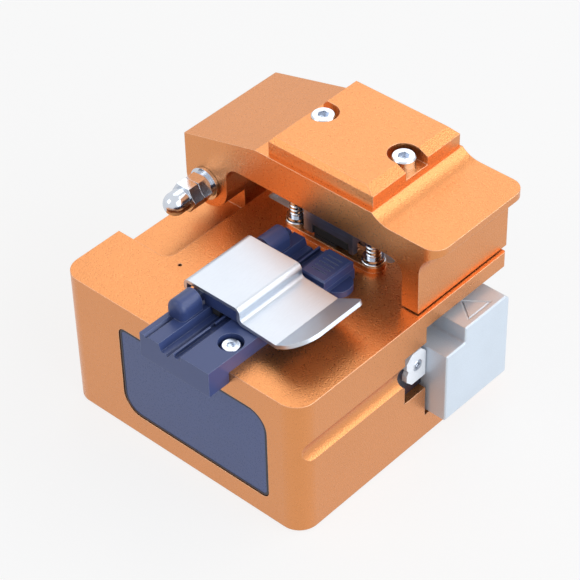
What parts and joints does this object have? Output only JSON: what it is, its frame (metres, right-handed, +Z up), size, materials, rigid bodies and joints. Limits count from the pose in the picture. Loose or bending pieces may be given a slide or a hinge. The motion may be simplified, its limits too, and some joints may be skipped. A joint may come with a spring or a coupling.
{
  "type": "optical fibre cleaver",
  "caption": "Bench optical fibre cleaver: block housing, hinged cover with sprung clamp, fibre holder with flip lid, and a blade wheel on a side slide.",
  "frame": {"origin": "centre of the underside of the rubber mat, on the surface the cleaver stands on", "axes": "+X towards the slide block, +Y from the nameplate to the cover, +Z up"},
  "size_m": [0.0644, 0.065, 0.0538],
  "materials": {
    "orange_anodised": "satin orange anodised, fine bead blast",
    "silver_aluminium": "satin clear anodised",
    "polished_steel": "polished stainless sheet and ground steel",
    "grey_steel": "fine ground steel",
    "carbide": "lapped tungsten carbide",
    "nickel_plate": "bright nickel plate",
    "brass": "turned brass",
    "black_plastic": "moulded black engineering plastic",
    "white_plastic": "moulded white nylon",
    "dark_gloss": "gloss blue-black, bare",
    "rubber": "matt black rubber"
  },
  "bodies": {
    "base": {"housing": "orange_anodised", "bottom_plate": "silver_aluminium", "base_mat": "rubber", "nameplate": "dark_gloss", "offcut_tray": "white_plastic", "holder_base": "black_plastic", "holder_rear_block": "black_plastic", "lid_magnet": "nickel_plate", "lid_hinge_pin": "nickel_plate", "landing_studs": "nickel_plate", "lower_pads": "rubber", "hinge_washer": "nickel_plate", "lock_nut": "nickel_plate", "acorn_nut": "nickel_plate", "hinge_shaft": "nickel_plate", "base_magnet": "nickel_plate", "linear_rail": "polished_steel", "window_insert": "black_plastic", "guide_shoe": "white_plastic", "shoe_screw": "nickel_plate", "bottom_screws": "nickel_plate", "holder_screws": "nickel_plate", "rail_screws": "nickel_plate"},
    "cover": {"cover_arm": "orange_anodised", "top_plate": "orange_anodised", "top_screws": "nickel_plate", "hinge_bushes": "brass", "cover_magnet": "nickel_plate", "guide_screws": "nickel_plate", "pressure_springs": "grey_steel"},
    "pressure_head": {"clamp_frame": "silver_aluminium", "upper_pads": "rubber", "anvil": "polished_steel"},
    "lid": {"clamp_lid": "polished_steel", "lid_clamp_block": "black_plastic", "lid_pad": "rubber"},
    "carriage": {"slide_block": "silver_aluminium", "runner_block": "polished_steel", "blade_carrier": "silver_aluminium", "blade_axle": "nickel_plate", "blade_spacer": "brass", "carrier_screws": "nickel_plate"},
    "blade": {"blade_wheel": "carbide", "blade_hub": "brass"}
  },
  "joints": [
    {"name": "cover_hinge", "type": "hinge", "parent": "base", "child": "cover", "pos_m": [-0.02405, 0.01705, 0.0355], "axis": [0, -1, 0], "range_deg": [0, 100]},
    {"name": "head_slide", "type": "slide", "parent": "cover", "child": "pressure_head", "axis": [0, 0, 1], "range_m": [0, 0.0012], "stiffness_N_per_m": 600, "springref_m": -0.001, "deforming": ["pressure_springs"]},
    {"name": "lid_hinge", "type": "hinge", "parent": "base", "child": "lid", "pos_m": [-0.0015, -0.01328, 0.03645], "axis": [0, -1, 0], "range_deg": [0, 100]},
    {"name": "carriage_slide", "type": "slide", "parent": "base", "child": "carriage", "axis": [1, 0, 0], "range_m": [0, 0.005]},
    {"name": "blade_index", "type": "hinge", "parent": "carriage", "child": "blade", "pos_m": [0.0007, 0.00995, 0.0261], "axis": [0, -1, 0], "continuous": true}
  ]
}
